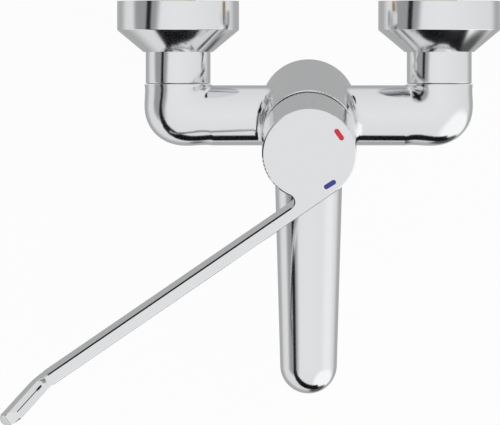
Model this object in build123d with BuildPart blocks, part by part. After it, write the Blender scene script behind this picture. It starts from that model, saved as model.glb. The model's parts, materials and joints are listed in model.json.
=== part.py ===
from build123d import *
import os
from math import acos, asin, atan2, cos, degrees, radians, sin, sqrt, tan

os.makedirs("parts", exist_ok=True)

# Layout: +Z up, the wall at y = 0, the user towards -Y, the origin midway between the wall inlets
inlet_centres = 150.0
arm_reach = 65.7
union_offset = 6.0
barrel_lean = 17.0
spout_dip = 10.0
lever_aside = 54.4

# Travel of the moving pieces, in degrees
swing_travel = 108.0
lift_travel = 9.0

# Shared clearances
fit_gap = 0.05
loose_gap = 0.3
cut_over = 2.0

# Body casting: arms, elbows and barrel
arm_radius = 17.25
arm_bore = 7.5
arm_bore_end = 5.5
outlet_radius = 19.3
elbow_corner = 22.0
elbow_inner = 0.5
elbow_steps = 6
barrel_radius = 27.0
barrel_below = 23.5
barrel_above = 40.5
barrel_blend = 5.0
barrel_foot_round = 1.5
rim_round = 0.6
nipple_socket_depth = 13.5

# Cartridge chamber, measured up the barrel from the arms' axis
chamber_floor = 13.0
chamber_radius = 17.8
nut_thread_radius = 19.2
nut_thread_depth = 6.5
port_radius = 3.2
inlet_port_x = 8.5
inlet_port_y = 3.0
mixed_port_y = 11.8
peg_radius = 1.5
peg_length = 2.4
peg_x = 13.5
peg_y = 5.0

# Cartridge base and its seals
base_radius = 17.4
base_thickness = 4.5
seal_ring = 4.2
seal_wire = 0.9

# Ceramic discs
fixed_disc_radius = 15.2
fixed_disc_thickness = 3.0
moving_disc_radius = 12.0
moving_disc_thickness = 3.5
mixing_pocket_depth = 1.6
mixing_pocket_length = 16.0
mixing_pocket_width = 7.0
mixing_pocket_shift = 4.0

# Disc carrier and stem
carrier_height = 5.5
carrier_radius = 11.6
carrier_floor = 0.8
ball_radius = 2.5
ball_play = 0.04
stem_neck_radius = 1.9
stem_lower = 8.5
stem_block_width = 7.0
stem_block_depth = 8.0
stem_block_below = 4.6
stem_block_above = 9.6
stem_square = 8.0
stem_top_gap = 0.4
pin_radius = 2.0
pin_length = 29.0

# Rotor
rotor_radius = 15.3
rotor_neck_radius = 9.42
rotor_cheek = 8.3
rotor_neck_height = 6.2
rotor_slot_length = 11.6
rotor_tab_width = 4.0
rotor_tab_height = 1.7
rotor_tab_reach = 13.6

# Cartridge shell
shell_radius = 17.5
shell_bore = 15.6
shell_collar_radius = 16.5
shell_shoulder_height = 22.5
shell_roof = 2.0

# Temperature limiter ring on the shell's roof
limiter_radius = 14.6
limiter_base = 2.0
limiter_stop_height = 2.2
limiter_stop_bore = 10.6
limiter_stop_play = 1.0

# Cartridge nut and the cover dome screwed onto it
nut_radius = 19.1
nut_rise = 5.0
nut_slot_width = 4.0
nut_slot_depth = 2.2
dome_radius = 23.6
dome_wall = 1.2
dome_mouth = 15.5

# Lever hub
hub_gap = 4.6
hub_height = 32.7
hub_wall = 2.8
hub_roof = 5.0
hub_edge_round = 0.8
hub_boss_radius = 9.5
hub_boss_length = 20.8
screw_depth = 9.0
screw_angle = 90.0
screw_radius = 3.0
screw_length = 8.0
screw_socket_radius = 1.7
screw_socket_depth = 3.0
plug_radius = 3.2

# Lever arm: a bar that leaves the hub at a tangent, its end turned up and cut level
bar_width = 7.1
bar_height = 12.6
bar_root_length = 60.0
bar_notch_round = 4.25
bar_bend_at = 202.0
bar_bend_angle = 49.5
bar_reach = 233.2
bar_top_reach = 228.5
bar_rise = 22.5
bar_bend_round = 9.0
bar_end_round = 3.3
bar_bevel_width = 2.4
bar_bevel_height = 4.1

# Temperature marks in the hub's top
mark_length = 7.7
mark_width = 2.8
mark_depth = 0.7
hot_mark_radius = 20.8
hot_mark_angle = 34.7
cold_mark_radius = 21.5
cold_mark_angle = -56.4

# Spout, measured along its own axis from the barrel's axis
spout_root_radius = 20.4
spout_end_radius = 16.3
spout_reach = 143.7
spout_wall = 3.2
spigot_radius = 9.0
spigot_bore = 5.8
spigot_start = 15.2
socket_start = 9.6
spout_ring_wire = 1.0
spout_ring_inner = 17.0
spout_ring_outer = 23.6
lock_screw_radius = 2.0
lock_screw_place = 21.2
lock_screw_bite = 1.0
lock_screw_length = 7.0
outlet_boss_radius = 13.9
outlet_boss_drop = 18.4
aerator_thread_radius = 11.8
aerator_thread_length = 7.0
aerator_flange_radius = 12.9
aerator_flange_height = 2.6
aerator_bore = 10.2
aerator_lip = 1.2
aerator_insert_height = 7.4
aerator_hole_radius = 0.8
aerator_hole_ring = 6.6
aerator_hole_count = 12
aerator_inner_ring = 3.3
aerator_inner_count = 6
aerator_washer_height = 1.6
aerator_washer_bore = 8.4

# Nipple, its O-ring and the check valve inside it
nipple_thread_radius = 10.9
nipple_neck_radius = 10.1
nipple_collar_radius = 12.5
nipple_collar_height = 2.8
nipple_bore = 7.2
ring_wire = 0.9
check_length = 11.0
check_wall = 1.4
check_poppet_radius = 4.2
check_poppet_height = 1.6
check_web = 1.4
check_inset = 1.5

# Union nut and washer
nut_outer_radius = 18.6
nut_face_gap = 0.3
nut_shoulder = 3.6
nut_length = 20.8
nut_edge = 0.8
washer_height = 2.0
washer_bore = 8.0

# S-union
union_thread_radius = 13.2
union_bore = 7.5
union_bend_start = 16.5
union_bend_end = 9.0
union_hex_flats = 24.0
union_hex_height = 5.0
wall_thread_radius = 10.48
wall_thread_length = 17.0

# Rosette
rosette_radius = 35.0
rosette_cone = 12.6
rosette_mouth = 19.9
rosette_over_nut = 2.45
rosette_wall = 1.2
rosette_web = 3.6
rosette_web_gap = 2.45
rosette_edge = 0.5

# Heights of the cartridge's layers, up the barrel from the arms' axis
base_top = chamber_floor + base_thickness
fixed_disc_top = base_top + fixed_disc_thickness
moving_disc_bottom = fixed_disc_top + fit_gap
moving_disc_top = moving_disc_bottom + moving_disc_thickness
carrier_top = moving_disc_top + carrier_height
ball_height = moving_disc_top + carrier_floor + loose_gap + ball_radius
pivot_height = ball_height + stem_lower
rotor_bottom = fixed_disc_top + loose_gap
rotor_ceiling = carrier_top + loose_gap
rotor_shoulder = rotor_ceiling + rotor_cheek
rotor_top = rotor_shoulder + rotor_neck_height
shell_ceiling = rotor_shoulder + fit_gap
shell_top = shell_ceiling + shell_roof
shell_shoulder = chamber_floor + shell_shoulder_height
limiter_top = shell_top + limiter_base
nut_top = barrel_above + nut_rise
disc_travel = stem_lower * radians(lift_travel)
hub_bottom = barrel_above + hub_gap
hub_top = hub_bottom + hub_height
hub_bore = barrel_radius - hub_wall
hub_ceiling = hub_top - hub_roof
boss_bottom = hub_ceiling - hub_boss_length
screw_height = hub_top - screw_depth
stem_top = hub_ceiling - stem_top_gap - fit_gap

# The tap's centre, where the arms' axis meets the barrel's axis, and the directions from there
arm_z = -union_offset
tap_centre = Vector(0, -arm_reach, arm_z)
lean = radians(barrel_lean)
dip = radians(spout_dip)
aside = radians(lever_aside)
barrel_up = Vector(0, -sin(lean), cos(lean))
barrel_back = Vector(0, cos(lean), sin(lean))
sideways = Vector(1, 0, 0)
spout_out = Vector(0, -cos(dip), -sin(dip))
lever_out = sideways * -sin(aside) - barrel_back * cos(aside)
lever_across = sideways * cos(aside) - barrel_back * sin(aside)

barrel_axis = Axis(tap_centre, barrel_up)
barrel_side = Plane(origin=tap_centre, x_dir=sideways, z_dir=-barrel_back)
barrel_plan = Plane(origin=tap_centre, x_dir=sideways, z_dir=barrel_up)
lever_plan = Plane(origin=tap_centre, x_dir=lever_out, z_dir=barrel_up)
spout_axis = Axis(tap_centre, spout_out)
spout_side = Plane(origin=tap_centre, x_dir=(0, sin(dip), -cos(dip)), z_dir=-sideways)
spout_plan = Plane(origin=tap_centre, x_dir=sideways, z_dir=spout_out)
hands = {"left": -1, "right": 1}


def finish(piece, name):
    """Label a finished piece and write its file."""
    piece.part.label = name
    export_step(piece.part, f"parts/{name}.step")


def turned(side, axis, outline):
    """A piece turned about an axis from an outline of (radius, height) points."""
    with BuildPart() as piece:
        with BuildSketch(side):
            with BuildLine():
                Polyline(*outline, close=True)
            make_face()
        revolve(axis=axis)
    return piece


def rings(side, axis, places, wire):
    """O-rings turned about an axis, one for each (radius, height) place."""
    with BuildPart() as piece:
        with BuildSketch(side):
            with Locations(*places):
                Circle(wire)
        revolve(axis=axis)
    return piece


def inlet_side(hand):
    """The plane of a turned outline on one inlet: radius along X, distance from the wall along Y."""
    return Plane(origin=(hand * inlet_centres / 2, 0, arm_z), x_dir=(1, 0, 0), z_dir=(0, 0, 1))


def inlet_axis(hand):
    """The axis of one union, square to the wall."""
    return Axis((hand * inlet_centres / 2, 0, arm_z), (0, 1, 0))


# Elbow: its outline turns a corner about a point just behind the arm and beside the outlet
seat_y = arm_radius + elbow_inner - arm_reach
turn_x = inlet_centres / 2 - outlet_radius - elbow_inner
corner_x = inlet_centres / 2 + outlet_radius - elbow_corner
corner_y = elbow_corner - arm_radius - arm_reach
quarter_turn = radians(90)


def corner_reach(turn):
    """Distance from the elbow's turning point to its outer outline, at a turn from the arm's section."""
    out_x = sin(turn)
    out_y = -cos(turn)
    along = out_x * (corner_x - turn_x) + out_y * (corner_y - seat_y)
    apart = (corner_x - turn_x) ** 2 + (corner_y - seat_y) ** 2 - elbow_corner**2
    on_round = along + sqrt(along**2 - apart)
    if turn_x + on_round * out_x < corner_x:
        return (2 * arm_radius + elbow_inner) / cos(turn)
    if seat_y + on_round * out_y > corner_y:
        return (2 * outlet_radius + elbow_inner) / sin(turn)
    return on_round


def elbow_section(hand, turn):
    """Plane, half width and half height of the elbow's oval section at one turn."""
    half_width = (corner_reach(turn) - elbow_inner) / 2
    half_height = arm_radius + (outlet_radius - arm_radius) * sin(turn) ** 2
    outward = Vector(hand * sin(turn), -cos(turn), 0)
    onward = Vector(hand * cos(turn), sin(turn), 0)
    middle = Vector(hand * turn_x, seat_y, arm_z) + outward * (elbow_inner + half_width)
    return Plane(origin=middle, x_dir=outward, z_dir=onward), half_width, half_height


# Outer form of the body casting, which the spout's root is also cut to
with BuildPart() as body_form:
    with BuildSketch(barrel_plan.offset(-barrel_below)):
        Circle(barrel_radius)
    extrude(amount=barrel_below + barrel_above)
    with BuildSketch(Plane(origin=(-turn_x, -arm_reach, arm_z), x_dir=(0, 1, 0), z_dir=(1, 0, 0))):
        Circle(arm_radius)
    extrude(amount=2 * turn_x)
    junctions = [
        edge
        for edge in body_form.edges()
        if abs(edge.center().X) < barrel_radius and edge.geom_type not in (GeomType.CIRCLE, GeomType.LINE)
    ]
    fillet(junctions, barrel_blend)
    for hand in hands.values():
        for step in range(elbow_steps + 1):
            section, half_width, half_height = elbow_section(hand, quarter_turn * step / elbow_steps)
            with BuildSketch(section):
                Ellipse(half_width, half_height)
        loft()
    barrel_rims = body_form.edges().filter_by(GeomType.CIRCLE).sort_by(barrel_axis)
    fillet(barrel_rims[0], barrel_foot_round)
    fillet(barrel_rims[-1], rim_round)

socket_bottom = seat_y - nipple_socket_depth
ring_floor_y = seat_y - 2 * ring_wire
ports = [(-inlet_port_x, inlet_port_y), (inlet_port_x, inlet_port_y), (0, -mixed_port_y)]
pegs = [(-peg_x, -peg_y), (peg_x, -peg_y)]

# Body casting, bored for the water ways
with BuildPart() as body_casting:
    add(body_form.part)
    # Water ways of the arms, with the nipples' sockets and O-ring seats
    for hand in hands.values():
        bore_end = (hand * arm_bore_end, -arm_reach, arm_z)
        with BuildSketch(Plane(origin=bore_end, x_dir=(0, 1, 0), z_dir=(hand, 0, 0))):
            Circle(arm_bore)
        extrude(amount=inlet_centres / 2, mode=Mode.SUBTRACT)
        with BuildSketch(inlet_side(hand)):
            with BuildLine():
                Polyline(
                    (0, socket_bottom),
                    (nipple_thread_radius + fit_gap, socket_bottom),
                    (nipple_thread_radius + fit_gap, ring_floor_y),
                    (nipple_neck_radius + 2 * ring_wire + fit_gap, ring_floor_y),
                    (nipple_neck_radius + 2 * ring_wire + fit_gap, seat_y + cut_over),
                    (0, seat_y + cut_over),
                    close=True,
                )
            make_face()
        revolve(axis=inlet_axis(hand), mode=Mode.SUBTRACT)
    # Cartridge chamber with its nut's thread, ports and peg holes
    with BuildSketch(barrel_plan.offset(chamber_floor)):
        Circle(chamber_radius)
    extrude(amount=barrel_above, mode=Mode.SUBTRACT)
    with BuildSketch(barrel_plan.offset(barrel_above - nut_thread_depth)):
        Circle(nut_thread_radius)
    extrude(amount=barrel_above, mode=Mode.SUBTRACT)
    with BuildSketch(barrel_plan):
        with Locations(*ports):
            Circle(port_radius)
    extrude(amount=chamber_floor + cut_over, mode=Mode.SUBTRACT)
    with BuildSketch(barrel_plan.offset(chamber_floor - peg_length - loose_gap)):
        with Locations(*pegs):
            Circle(peg_radius + fit_gap)
    extrude(amount=chamber_floor, mode=Mode.SUBTRACT)
    # Spout socket, and the lock screw's hole below it
    with BuildSketch(spout_plan.offset(socket_start)):
        Circle(spigot_radius + fit_gap)
    extrude(amount=barrel_radius, mode=Mode.SUBTRACT)
    with BuildSketch(barrel_plan.offset(-barrel_below - cut_over)):
        with Locations((0, -lock_screw_place)):
            Circle(lock_screw_radius + fit_gap)
    extrude(amount=barrel_below, mode=Mode.SUBTRACT)
finish(body_casting, "body_casting")

# Spout: a straight taper that runs tangent into a round end
spout_length = spout_reach / cos(dip)
root_to_end = sqrt(spout_root_radius**2 + spout_length**2)
taper = acos(spout_end_radius / root_to_end) - atan2(spout_length, spout_root_radius)


def spout_outline(inset):
    """The taper's radius at the barrel's axis and its last point, on the round end, drawn in by a wall."""
    end = spout_end_radius - inset
    return spout_root_radius - inset / cos(taper), (end * cos(taper), spout_length + end * sin(taper))


outlet_centre = tap_centre + spout_out * spout_length
ball_place = Plane(origin=outlet_centre, x_dir=-spout_out, z_dir=sideways)
outlet_plan = Plane(origin=outlet_centre, x_dir=sideways, z_dir=(0, 0, -1))
outlet_side = Plane(origin=outlet_centre, x_dir=sideways, z_dir=(0, 1, 0))
outlet_axis = Axis(outlet_centre, (0, 0, -1))
aerator_top = outlet_boss_drop - aerator_thread_length - aerator_washer_height
groove_radius = spigot_radius - 2 * spout_ring_wire
groove_half = spout_ring_wire + fit_gap
spout_ring_places = (spout_ring_inner, spout_ring_outer)
lock_screw_tip = lock_screw_bite + lock_screw_place * tan(lean - dip) - spigot_radius / cos(lean - dip)

with BuildPart() as spout:
    root_radius, taper_end = spout_outline(0)
    with BuildSketch(spout_side):
        with BuildLine():
            Polyline((0, 0), (root_radius, 0), taper_end, (0, taper_end[1]), close=True)
        make_face()
    revolve(axis=spout_axis)
    with Locations(ball_place):
        Sphere(spout_end_radius)
    add(body_form.part, mode=Mode.SUBTRACT)
    with BuildSketch(spout_plan.offset(spigot_start)):
        Circle(spigot_radius)
    extrude(amount=barrel_radius - spigot_start + spout_wall)
    with BuildSketch(outlet_plan):
        Circle(outlet_boss_radius)
    extrude(amount=outlet_boss_drop)
    # Water way
    inner_root, inner_end = spout_outline(spout_wall)
    hollow_start = barrel_radius + 3 * spout_wall
    with BuildSketch(spout_side):
        with BuildLine():
            Polyline(
                (0, 0),
                (spigot_bore, 0),
                (spigot_bore, hollow_start - spout_wall),
                (inner_root - hollow_start * tan(taper), hollow_start),
                inner_end,
                (0, inner_end[1]),
                close=True,
            )
        make_face()
    revolve(axis=spout_axis, mode=Mode.SUBTRACT)
    with Locations(ball_place):
        Sphere(spout_end_radius - spout_wall, mode=Mode.SUBTRACT)
    with BuildSketch(outlet_plan):
        Circle(aerator_washer_bore)
    extrude(amount=outlet_boss_drop, mode=Mode.SUBTRACT)
    with BuildSketch(outlet_plan.offset(aerator_top)):
        Circle(aerator_thread_radius + fit_gap)
    extrude(amount=outlet_boss_drop, mode=Mode.SUBTRACT)
    # Grooves of the two O-rings and the lock screw's dimple
    for place in spout_ring_places:
        with BuildSketch(spout_plan.offset(place - groove_half)):
            Circle(spigot_radius + cut_over)
            Circle(groove_radius, mode=Mode.SUBTRACT)
        extrude(amount=2 * groove_half, mode=Mode.SUBTRACT)
    with BuildSketch(barrel_plan.offset(-barrel_below)):
        with Locations((0, -lock_screw_place)):
            Circle(lock_screw_radius + fit_gap)
    extrude(amount=barrel_below + lock_screw_tip + fit_gap, mode=Mode.SUBTRACT)
finish(spout, "spout")

spout_o_rings = rings(
    spout_side,
    spout_axis,
    [(spigot_radius + fit_gap / 2 - spout_ring_wire, place) for place in spout_ring_places],
    spout_ring_wire,
)
finish(spout_o_rings, "spout_o_rings")

with BuildPart() as spout_lock_screw:
    with BuildSketch(barrel_plan.offset(lock_screw_tip - lock_screw_length)):
        with Locations((0, -lock_screw_place)):
            Circle(lock_screw_radius)
    extrude(amount=lock_screw_length)
    with BuildSketch(barrel_plan.offset(lock_screw_tip - lock_screw_length)):
        with Locations((0, -lock_screw_place)):
            RegularPolygon(screw_socket_radius, 6)
    extrude(amount=screw_socket_depth, mode=Mode.SUBTRACT)
finish(spout_lock_screw, "spout_lock_screw")

# Aerator, measured down from the centre of the spout's round end
aerator_seat = outlet_boss_drop + fit_gap
aerator_bottom = aerator_seat + aerator_flange_height
aerator_housing = turned(
    outlet_side,
    outlet_axis,
    [
        (aerator_bore, outlet_boss_drop - aerator_thread_length),
        (aerator_thread_radius, outlet_boss_drop - aerator_thread_length),
        (aerator_thread_radius, aerator_seat),
        (aerator_flange_radius, aerator_seat),
        (aerator_flange_radius, aerator_bottom),
        (aerator_bore - aerator_lip, aerator_bottom),
        (aerator_bore - aerator_lip, aerator_bottom - aerator_lip),
        (aerator_bore, aerator_bottom - aerator_lip),
    ],
)
finish(aerator_housing, "aerator_housing")

with BuildPart() as aerator_insert:
    insert_bottom = aerator_bottom - aerator_lip - fit_gap
    with BuildSketch(outlet_plan.offset(insert_bottom - aerator_insert_height)):
        Circle(aerator_bore - fit_gap)
        Circle(aerator_bore - fit_gap - aerator_lip, mode=Mode.SUBTRACT)
    extrude(amount=aerator_insert_height)
    with BuildSketch(outlet_plan.offset(insert_bottom - 2 * aerator_lip)):
        Circle(aerator_bore - fit_gap)
        Circle(aerator_hole_radius, mode=Mode.SUBTRACT)
        with PolarLocations(aerator_hole_ring, aerator_hole_count):
            Circle(aerator_hole_radius, mode=Mode.SUBTRACT)
        with PolarLocations(aerator_inner_ring, aerator_inner_count):
            Circle(aerator_hole_radius, mode=Mode.SUBTRACT)
    extrude(amount=2 * aerator_lip)
finish(aerator_insert, "aerator_insert")

with BuildPart() as aerator_washer:
    with BuildSketch(outlet_plan.offset(aerator_top)):
        Circle(aerator_thread_radius)
        Circle(aerator_washer_bore, mode=Mode.SUBTRACT)
    extrude(amount=aerator_washer_height)
finish(aerator_washer, "aerator_washer")

# Cartridge base with its ports, seal seats and locating pegs
with BuildPart() as cartridge_base:
    with BuildSketch(barrel_plan.offset(chamber_floor)):
        Circle(base_radius)
    extrude(amount=base_thickness)
    with BuildSketch(barrel_plan.offset(chamber_floor)):
        with Locations(*ports):
            Circle(port_radius)
    extrude(amount=base_thickness, mode=Mode.SUBTRACT)
    with BuildSketch(barrel_plan.offset(chamber_floor)):
        with Locations(*ports):
            Circle(seal_ring + seal_wire + fit_gap)
    extrude(amount=2 * seal_wire + fit_gap, mode=Mode.SUBTRACT)
    with BuildSketch(barrel_plan.offset(chamber_floor - peg_length)):
        with Locations(*pegs):
            Circle(peg_radius)
    extrude(amount=peg_length + seal_wire)
finish(cartridge_base, "cartridge_base")

with BuildPart() as cartridge_seals:
    for port_x, port_y in ports:
        port_place = barrel_plan.from_local_coords((port_x, port_y, 0))
        port_side = Plane(origin=port_place, x_dir=sideways, z_dir=-barrel_back)
        with BuildSketch(port_side):
            with Locations((seal_ring, chamber_floor + seal_wire)):
                Circle(seal_wire)
        revolve(axis=Axis(port_side.origin, barrel_up))
finish(cartridge_seals, "cartridge_seals")

with BuildPart() as fixed_ceramic_disc:
    with BuildSketch(barrel_plan.offset(base_top)):
        Circle(fixed_disc_radius)
        with Locations(*ports):
            Circle(port_radius, mode=Mode.SUBTRACT)
    extrude(amount=fixed_disc_thickness)
finish(fixed_ceramic_disc, "fixed_ceramic_disc")

# Moving disc, with a blind mixing pocket in its underside
with BuildPart() as moving_ceramic_disc:
    with BuildSketch(lever_plan.offset(moving_disc_bottom)):
        Circle(moving_disc_radius)
    extrude(amount=moving_disc_thickness)
    with BuildSketch(lever_plan.offset(moving_disc_bottom)):
        with Locations((mixing_pocket_shift, 0)):
            SlotOverall(mixing_pocket_length, mixing_pocket_width, rotation=90)
    extrude(amount=mixing_pocket_depth, mode=Mode.SUBTRACT)
finish(moving_ceramic_disc, "moving_ceramic_disc")

with BuildPart() as disc_carrier:
    with BuildSketch(lever_plan.offset(moving_disc_top)):
        Circle(carrier_radius)
    extrude(amount=carrier_height)
    with BuildSketch(lever_plan.offset(moving_disc_top + carrier_floor)):
        Circle(ball_radius + ball_play)
    extrude(amount=carrier_height, mode=Mode.SUBTRACT)
finish(disc_carrier, "disc_carrier")

# Rotor: turns in the shell, guides the carrier below and holds the stem's pin above
pin_plan = Plane(origin=tap_centre + barrel_up * pivot_height, x_dir=lever_out, z_dir=lever_across)
tab_middle = (rotor_neck_radius + rotor_tab_reach) / 2
with BuildPart() as cartridge_rotor:
    with BuildSketch(lever_plan.offset(rotor_bottom)):
        Circle(rotor_radius)
    extrude(amount=rotor_shoulder - rotor_bottom)
    with BuildSketch(lever_plan.offset(rotor_shoulder)):
        Circle(rotor_neck_radius)
    extrude(amount=rotor_neck_height)
    with BuildSketch(lever_plan.offset(limiter_top + loose_gap)):
        with Locations((tab_middle - loose_gap, 0)):
            Rectangle(rotor_tab_reach - rotor_neck_radius + 2 * loose_gap, rotor_tab_width)
    extrude(amount=rotor_tab_height)
    with BuildSketch(lever_plan.offset(rotor_bottom)):
        SlotCenterToCenter(2 * (disc_travel + loose_gap), 2 * (moving_disc_radius + loose_gap))
    extrude(amount=rotor_ceiling - rotor_bottom, mode=Mode.SUBTRACT)
    with BuildSketch(lever_plan.offset(rotor_ceiling)):
        Rectangle(rotor_slot_length, stem_block_width + 2 * fit_gap)
    extrude(amount=rotor_top, mode=Mode.SUBTRACT)
    with BuildSketch(pin_plan):
        Circle(pin_radius + fit_gap)
    extrude(amount=rotor_radius, both=True, mode=Mode.SUBTRACT)
finish(cartridge_rotor, "cartridge_rotor")

with BuildPart() as stem_pin:
    with BuildSketch(pin_plan):
        Circle(pin_radius)
    extrude(amount=pin_length / 2, both=True)
finish(stem_pin, "stem_pin")

# Lever stem: ball, neck, pivot block and the square that carries the hub
screw_turn = radians(screw_angle)
screw_out = sideways * cos(screw_turn) + barrel_back * sin(screw_turn)
screw_across = barrel_up.cross(screw_out)
screw_plan = Plane(origin=tap_centre, x_dir=screw_out, z_dir=barrel_up)
screw_line = Plane(origin=tap_centre + barrel_up * screw_height, x_dir=screw_across, z_dir=screw_out)
block_bottom = pivot_height - stem_block_below
block_top = pivot_height + stem_block_above
with BuildPart() as lever_stem:
    with BuildSketch(barrel_side):
        with BuildLine():
            CenterArc((0, ball_height), ball_radius, -90, 180)
            Line((0, ball_height + ball_radius), (0, ball_height - ball_radius))
        make_face()
    revolve(axis=barrel_axis)
    with BuildSketch(barrel_plan.offset(ball_height)):
        Circle(stem_neck_radius)
    extrude(amount=block_bottom - ball_height)
    with BuildSketch(lever_plan.offset(block_bottom)):
        Rectangle(stem_block_depth, stem_block_width)
    extrude(amount=block_top - block_bottom)
    with BuildSketch(screw_plan.offset(block_top)):
        Rectangle(stem_square, stem_square)
    extrude(amount=stem_top - block_top)
    with BuildSketch(pin_plan):
        Circle(pin_radius + fit_gap)
    extrude(amount=stem_block_width, both=True, mode=Mode.SUBTRACT)
finish(lever_stem, "lever_stem")

# Cartridge shell: a cup over the discs and the rotor, with a shoulder for the nut
cartridge_shell = turned(
    barrel_side,
    barrel_axis,
    [
        (shell_bore, base_top),
        (shell_radius, base_top),
        (shell_radius, shell_shoulder),
        (shell_collar_radius, shell_shoulder),
        (shell_collar_radius, shell_top),
        (rotor_neck_radius + fit_gap, shell_top),
        (rotor_neck_radius + fit_gap, shell_ceiling),
        (shell_bore, shell_ceiling),
    ],
)
finish(cartridge_shell, "cartridge_shell")

# Limiter ring: its raised stop leaves the rotor's tab the swing's travel and no more
tab_turn = degrees(asin(rotor_tab_width / 2 / limiter_stop_bore)) + limiter_stop_play
with BuildPart() as temperature_limiter:
    with BuildSketch(lever_plan.offset(shell_top)):
        Circle(limiter_radius)
        Circle(rotor_neck_radius + loose_gap, mode=Mode.SUBTRACT)
    extrude(amount=limiter_base)
    with BuildSketch(lever_plan.offset(limiter_top)):
        Circle(limiter_radius)
        Circle(limiter_stop_bore, mode=Mode.SUBTRACT)
        with BuildLine():
            free_arc = CenterArc((0, 0), 2 * limiter_radius, -tab_turn, swing_travel + 2 * tab_turn)
            Line((0, 0), free_arc @ 0)
            Line(free_arc @ 1, (0, 0))
        make_face(mode=Mode.SUBTRACT)
    extrude(amount=limiter_stop_height)
finish(temperature_limiter, "temperature_limiter")

with BuildPart() as cartridge_nut:
    with BuildSketch(barrel_plan.offset(shell_shoulder)):
        Circle(nut_radius)
        Circle(shell_collar_radius + fit_gap, mode=Mode.SUBTRACT)
    extrude(amount=nut_top - shell_shoulder)
    with BuildSketch(barrel_plan.offset(nut_top - nut_slot_depth)):
        Rectangle(2 * barrel_radius, nut_slot_width)
        Rectangle(nut_slot_width, 2 * barrel_radius)
    extrude(amount=barrel_above, mode=Mode.SUBTRACT)
finish(cartridge_nut, "cartridge_nut")

# Cover dome: a ball shell about the stem's pin, so that the hub tilts over it without touching
dome_inner = dome_radius - dome_wall
dome_foot = barrel_above + fit_gap
dome_foot_radius = sqrt(dome_radius**2 - (dome_foot - pivot_height) ** 2)


def dome_point(ball, radius):
    """The point of the dome's outline at a radius from the barrel's axis."""
    return radius, pivot_height + sqrt(ball**2 - radius**2)


with BuildPart() as cover_dome:
    with BuildSketch(barrel_side):
        with BuildLine():
            ThreePointArc(
                (dome_foot_radius, dome_foot),
                dome_point(dome_radius, (dome_foot_radius + dome_mouth) / 2),
                dome_point(dome_radius, dome_mouth),
            )
            Line(dome_point(dome_radius, dome_mouth), dome_point(dome_inner, dome_mouth))
            ThreePointArc(
                dome_point(dome_inner, dome_mouth),
                dome_point(dome_inner, (dome_mouth + nut_thread_radius) / 2),
                dome_point(dome_inner, nut_thread_radius),
            )
            Polyline(
                dome_point(dome_inner, nut_thread_radius),
                (nut_thread_radius, dome_foot),
                (dome_foot_radius, dome_foot),
            )
        make_face()
    revolve(axis=barrel_axis)
finish(cover_dome, "cover_dome")

# Lever: hub and arm in one casting
bar_middle = barrel_radius - bar_width / 2
bar_side = Plane(
    origin=tap_centre + lever_across * bar_middle + barrel_up * hub_top, x_dir=lever_out, z_dir=-lever_across
)
bend = radians(bar_bend_angle)
low_bend_at = bar_bend_at + bar_height * tan(bend / 2)
slope_out = lever_out * cos(bend) + barrel_up * sin(bend)
bevel_start = bar_side.origin + lever_out * bar_bend_at - lever_across * (bar_width / 2)
bend_place = (bar_bend_at, 0)
low_bend_place = (low_bend_at, -bar_height)
tip_start = (bar_bend_at + bar_rise / tan(bend), bar_rise)
tip_low = (bar_reach, (bar_reach - low_bend_at) * tan(bend) - bar_height)
notch = (sqrt(barrel_radius**2 - (barrel_radius - bar_width) ** 2), barrel_radius - bar_width)
mark_places = {
    "hot_mark": (hot_mark_radius, hot_mark_angle),
    "cold_mark": (cold_mark_radius, cold_mark_angle),
}


def mark_outline(place, margin):
    """A rounded bar laid round the hub's rim."""
    with PolarLocations(place[0], 1, start_angle=place[1]):
        SlotOverall(mark_length + 2 * margin, mark_width + 2 * margin, rotation=90)


# Lever's end: its side outline, turned up and cut level, within its round-ended plan
with BuildPart() as lever_end:
    with BuildSketch(bar_side) as bar_outline:
        with BuildLine():
            Polyline(
                (bar_root_length, 0),
                bend_place,
                tip_start,
                (bar_top_reach, bar_rise),
                tip_low,
                low_bend_place,
                (bar_root_length, -bar_height),
                close=True,
            )
        make_face()
        fillet(bar_outline.vertices().sort_by_distance(bend_place)[0], bar_bend_round)
        fillet(bar_outline.vertices().sort_by_distance(low_bend_place)[0], 2 * bar_bend_round)
    extrude(amount=bar_width / 2, both=True)
    with BuildSketch(lever_plan.offset(hub_top - bar_height)) as bar_plan:
        with Locations(((bar_root_length + bar_reach) / 2, bar_middle)):
            Rectangle(bar_reach - bar_root_length, bar_width)
        fillet(bar_plan.vertices().sort_by(Axis.X)[-2:], bar_end_round)
    extrude(amount=bar_height + bar_rise, mode=Mode.INTERSECT)

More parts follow.
